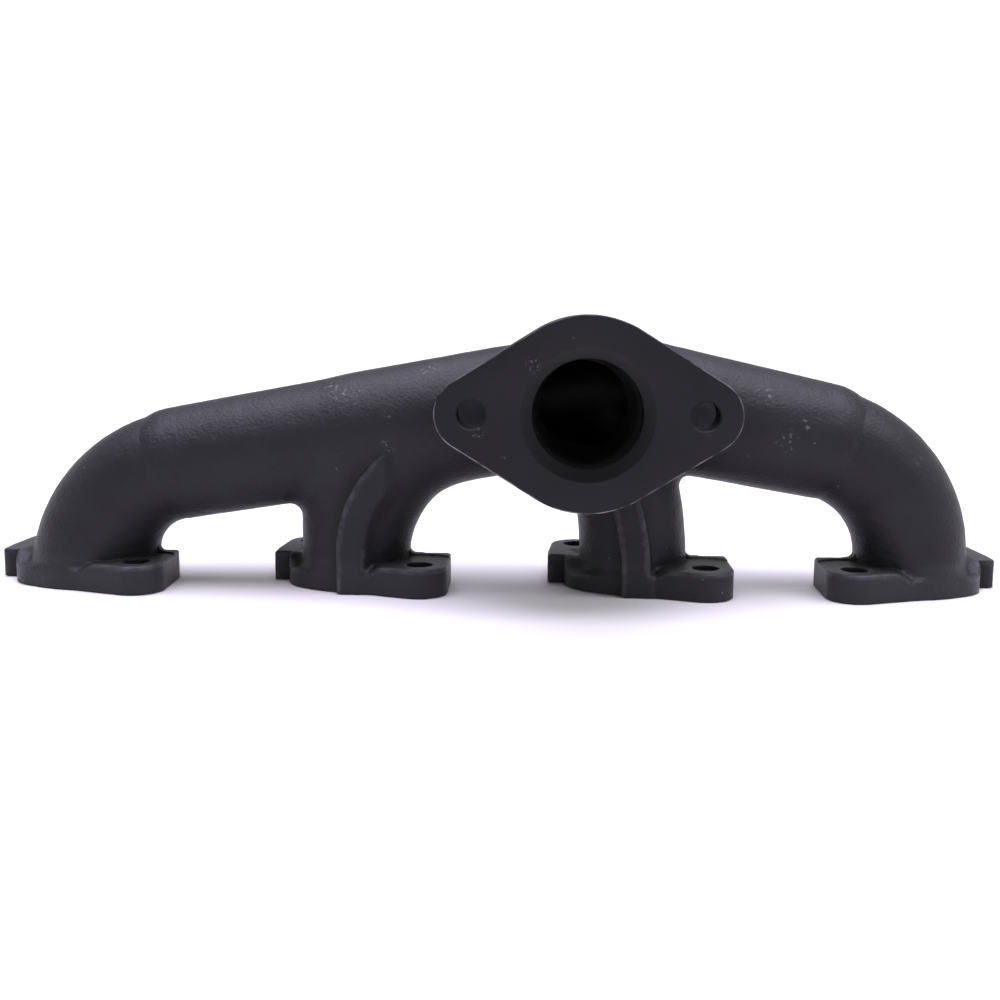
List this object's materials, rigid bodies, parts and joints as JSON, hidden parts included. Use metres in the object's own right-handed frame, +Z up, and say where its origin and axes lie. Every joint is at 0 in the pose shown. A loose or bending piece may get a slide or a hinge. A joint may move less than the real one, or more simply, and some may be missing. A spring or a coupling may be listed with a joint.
{
  "type": "exhaust manifold",
  "caption": "Log exhaust manifold casting: bolt flanges face down to the cylinder head, bent runners join a peaked log, and one bolted outlet faces forward.",
  "frame": {"origin": "middle of the casting's box at the level of the port faces", "axes": "+X along the log from port 1 to port 4, -Y the way the outlet faces, +Z up from the port faces to the log"},
  "size_m": [0.354, 0.0886, 0.0958],
  "materials": {
    "cast_body": "rough sand-cast grey iron, dark charcoal",
    "machined_face": "machined and darkened, smoother than the casting"
  },
  "bodies": {
    "root": {"port_flange_1": "cast_body", "port_flange_2": "cast_body", "port_flange_3": "cast_body", "port_flange_4": "cast_body", "front_bolt_lug_1": "cast_body", "front_bolt_lug_2": "cast_body", "front_bolt_lug_3": "cast_body", "front_bolt_lug_4": "cast_body", "back_bolt_lug_1": "cast_body", "back_bolt_lug_2": "cast_body", "back_bolt_lug_3": "cast_body", "back_bolt_lug_4": "cast_body", "elbow_1": "cast_body", "runner_2": "cast_body", "runner_3": "cast_body", "elbow_4": "cast_body", "log_left": "cast_body", "log_peak_left": "cast_body", "log_peak_right": "cast_body", "log_right": "cast_body", "outlet_neck": "cast_body", "outlet_flange": "machined_face", "runner_rib_2": "cast_body", "runner_rib_3": "cast_body"}
  },
  "joints": []
}
